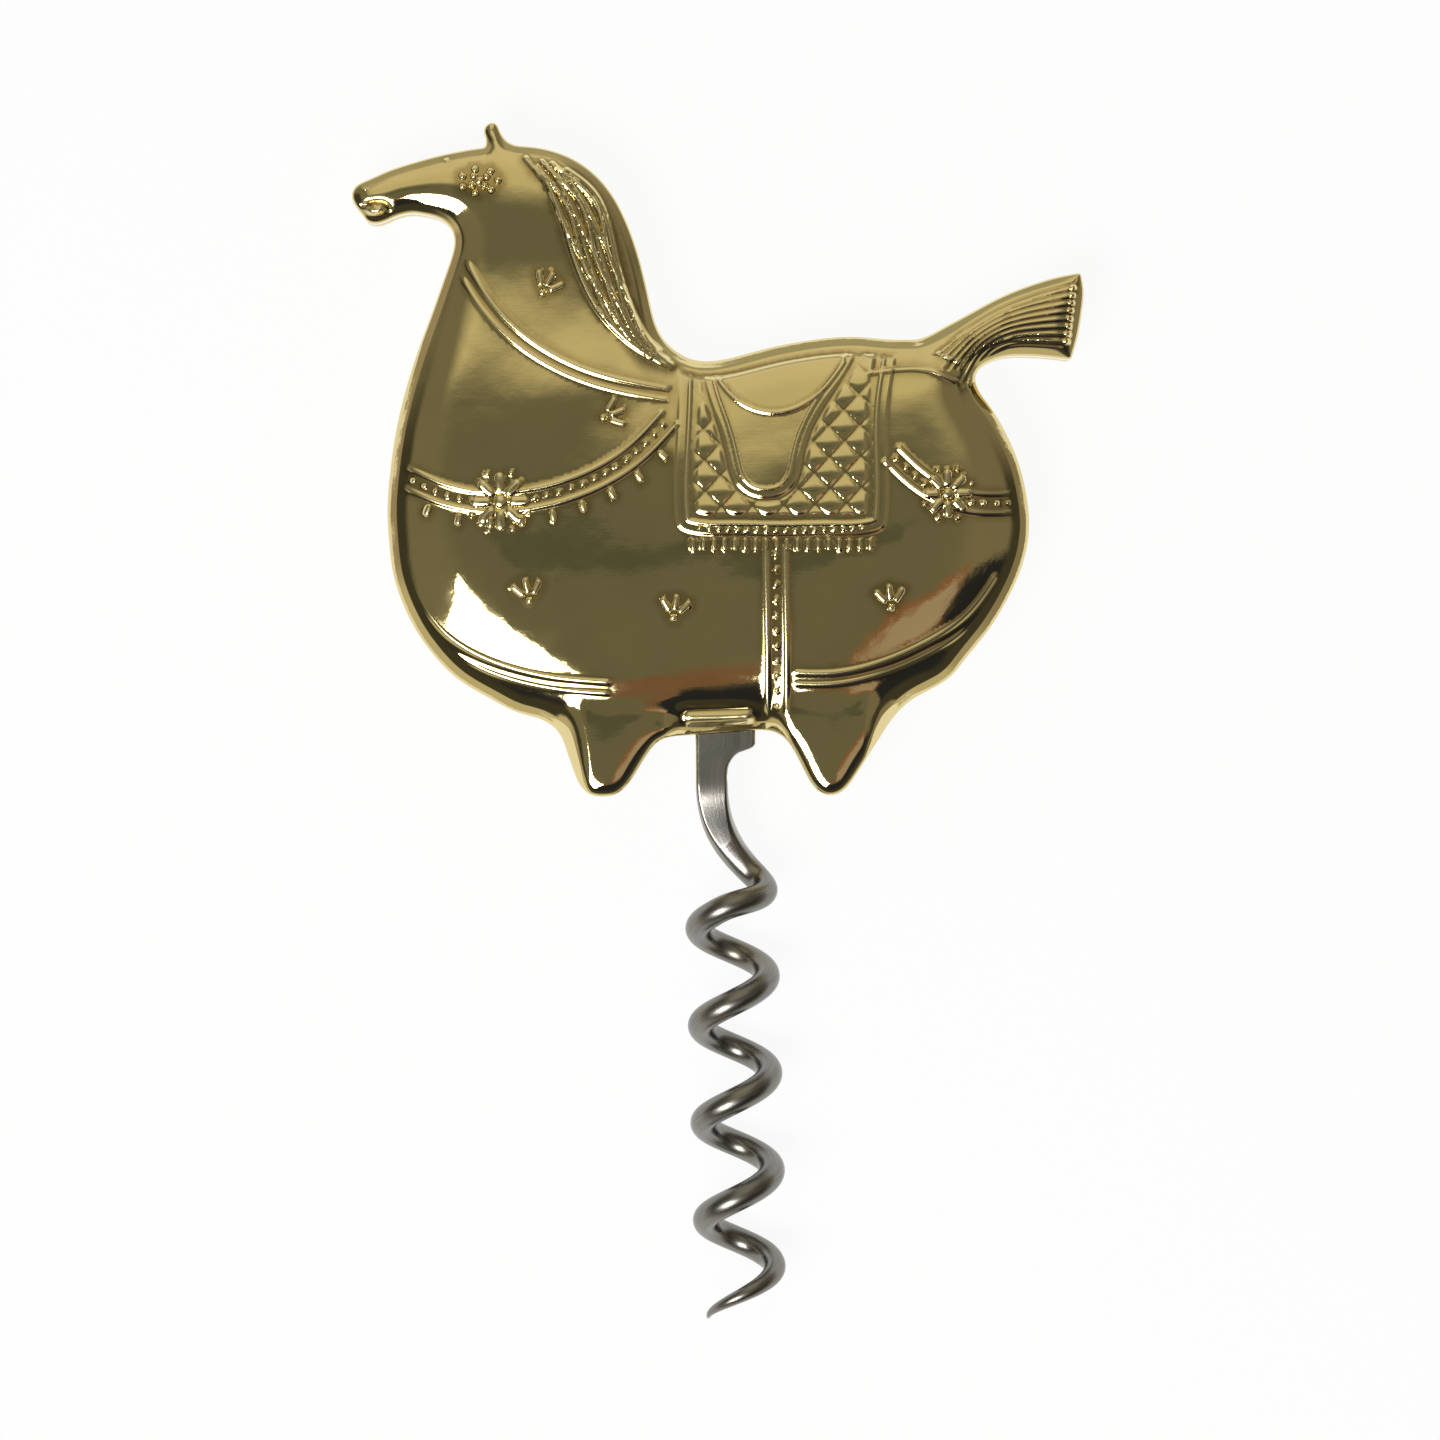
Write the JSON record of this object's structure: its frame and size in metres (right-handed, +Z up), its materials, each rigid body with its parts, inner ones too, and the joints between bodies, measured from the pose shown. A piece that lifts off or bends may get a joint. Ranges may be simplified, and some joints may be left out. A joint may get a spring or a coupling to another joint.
{
  "type": "corkscrew",
  "caption": "Pull corkscrew: a flat, pillowed horse-shaped handle made of screwed, gold-plated shells, with a bare steel worm pinned into the belly.",
  "frame": {"origin": "on the flat that the corkscrew rests on, under the point where the worm's axis crosses the middle of the horse's body", "axes": "+Z up out of the front face with the relief, -Y along the worm's axis to its point, +X towards the horse's tail"},
  "size_m": [0.0729, 0.1201, 0.0115],
  "materials": {
    "gold_plate": "cast and polished, gold-plated, with lightly worn relief",
    "worm_steel": "bare drawn wire, satin grey",
    "fastener_steel": "turned, plain"
  },
  "bodies": {
    "root": {"front_half": "gold_plate", "back_half": "gold_plate", "worm": "worm_steel", "tang_pin": "fastener_steel", "back_screws": "fastener_steel"}
  },
  "joints": []
}
